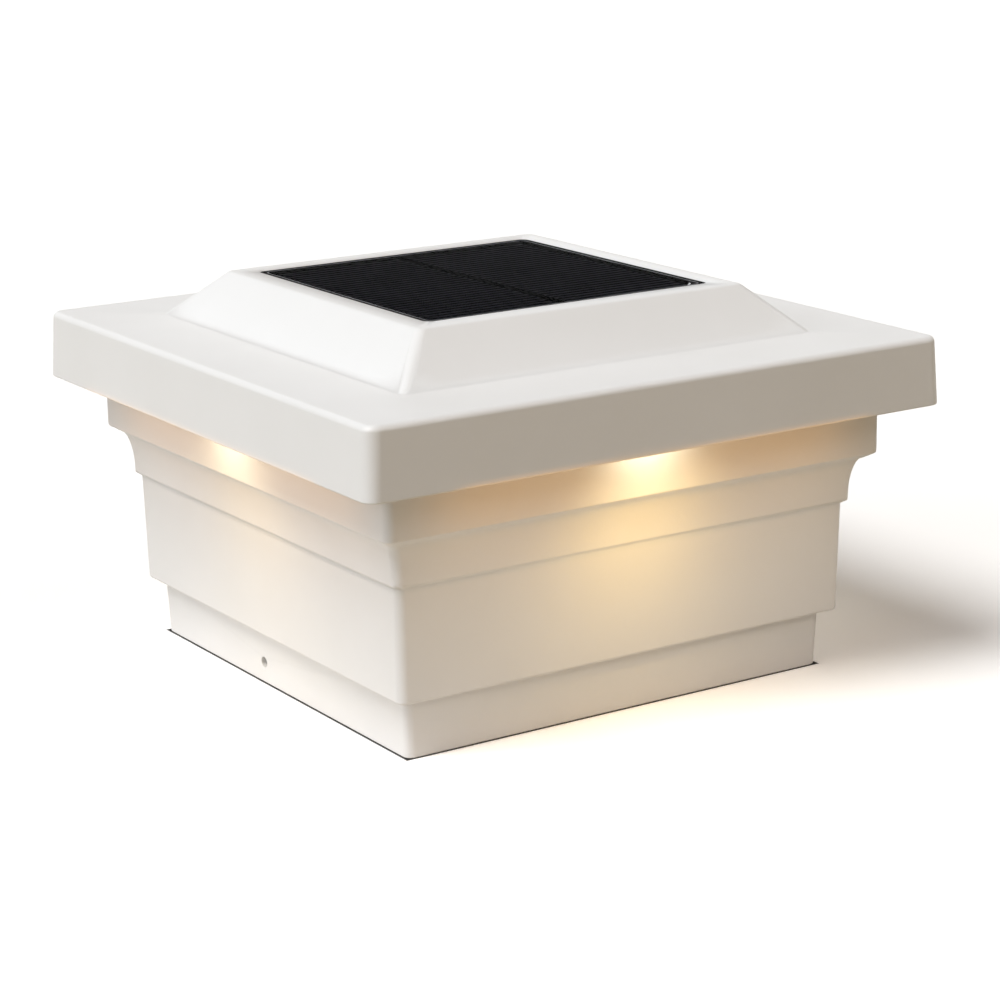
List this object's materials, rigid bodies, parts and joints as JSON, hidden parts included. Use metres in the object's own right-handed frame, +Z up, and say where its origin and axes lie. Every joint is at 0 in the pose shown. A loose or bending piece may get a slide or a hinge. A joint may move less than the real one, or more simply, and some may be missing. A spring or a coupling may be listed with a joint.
{
  "type": "deck post cap light",
  "caption": "Square solar light that caps a deck post: a flat slab cover with a low pyramid and a solar panel over a stepped white sleeve, lit from under the slab.",
  "frame": {"origin": "middle of the sleeve's lower edge, which is the bottom centre of the bounding box", "axes": "+Z up along the post, towards the solar panel; -Y front, towards the face with no screw hole; the side screw holes are on the -X and +X faces"},
  "size_m": [0.182, 0.182, 0.1081],
  "materials": {
    "board_green": "green solder resist",
    "board_white": "white solder resist",
    "can_silver": "plain can",
    "cell_blue_black": "near black silicon with fine silver fingers",
    "cell_wrap": "plain green sleeve",
    "chassis_grey": "light grey moulded",
    "chip_black": "moulded black",
    "coil_dark": "dark ferrite",
    "cover_white": "satin white moulded, lightly textured",
    "foam_black": "soft black foam",
    "lamp_yellow": "phosphor over a white package, lit",
    "lead_black": "smooth sleeve",
    "lead_red": "smooth sleeve",
    "lens_clear": "clear dome",
    "panel_black": "printed black border",
    "panel_glass": "clear, smooth",
    "rubber_black": "matt black rubber",
    "socket_cream": "natural nylon",
    "spring_steel": "nickel plated",
    "steel_zinc": "zinc plated",
    "switch_black": "moulded black",
    "trim_white": "satin white moulded, lightly textured"
  },
  "bodies": {
    "housing": {"top_cover": "cover_white", "post_trim": "trim_white", "panel_seal": "foam_black", "panel_backing": "board_white", "panel_border": "panel_black", "solar_cell_left": "cell_blue_black", "solar_cell_right": "cell_blue_black", "panel_glass": "panel_glass", "lead_grommet": "rubber_black", "chassis": "chassis_grey", "post_pads": "rubber_black", "cover_screws": "steel_zinc", "board_screws": "steel_zinc", "lamp_screws": "steel_zinc", "battery_cell": "cell_wrap", "battery_contact": "spring_steel", "battery_spring_plate": "spring_steel", "battery_spring": "spring_steel", "circuit_board": "board_green", "board_sockets": "socket_cream", "lead_plugs": "socket_cream", "controller_chip": "chip_black", "boost_coil": "coil_dark", "buffer_capacitor": "can_silver", "board_resistors": "chip_black", "switch_body": "switch_black", "panel_lead_red": "lead_red", "panel_lead_black": "lead_black", "battery_lead_red": "lead_red", "battery_lead_black": "lead_black", "front_lamp_board": "board_white", "front_lamp_chip": "lamp_yellow", "front_lamp_lens": "lens_clear", "front_lamp_lead": "lead_black", "right_lamp_board": "board_white", "right_lamp_chip": "lamp_yellow", "right_lamp_lens": "lens_clear", "right_lamp_lead": "lead_black", "back_lamp_board": "board_white", "back_lamp_chip": "lamp_yellow", "back_lamp_lens": "lens_clear", "back_lamp_lead": "lead_black", "left_lamp_board": "board_white", "left_lamp_chip": "lamp_yellow", "left_lamp_lens": "lens_clear", "left_lamp_lead": "lead_black"},
    "door": {"battery_door": "chassis_grey"},
    "slider": {"switch_slider": "switch_black"}
  },
  "joints": [
    {"name": "battery_door_hinge", "type": "hinge", "parent": "housing", "child": "door", "pos_m": [-0.0344, 0, 0.052], "axis": [0, 1, 0], "range_deg": [0, 100]},
    {"name": "switch_slide", "type": "slide", "parent": "housing", "child": "slider", "axis": [0, 1, 0], "range_m": [0, 0.003]}
  ]
}
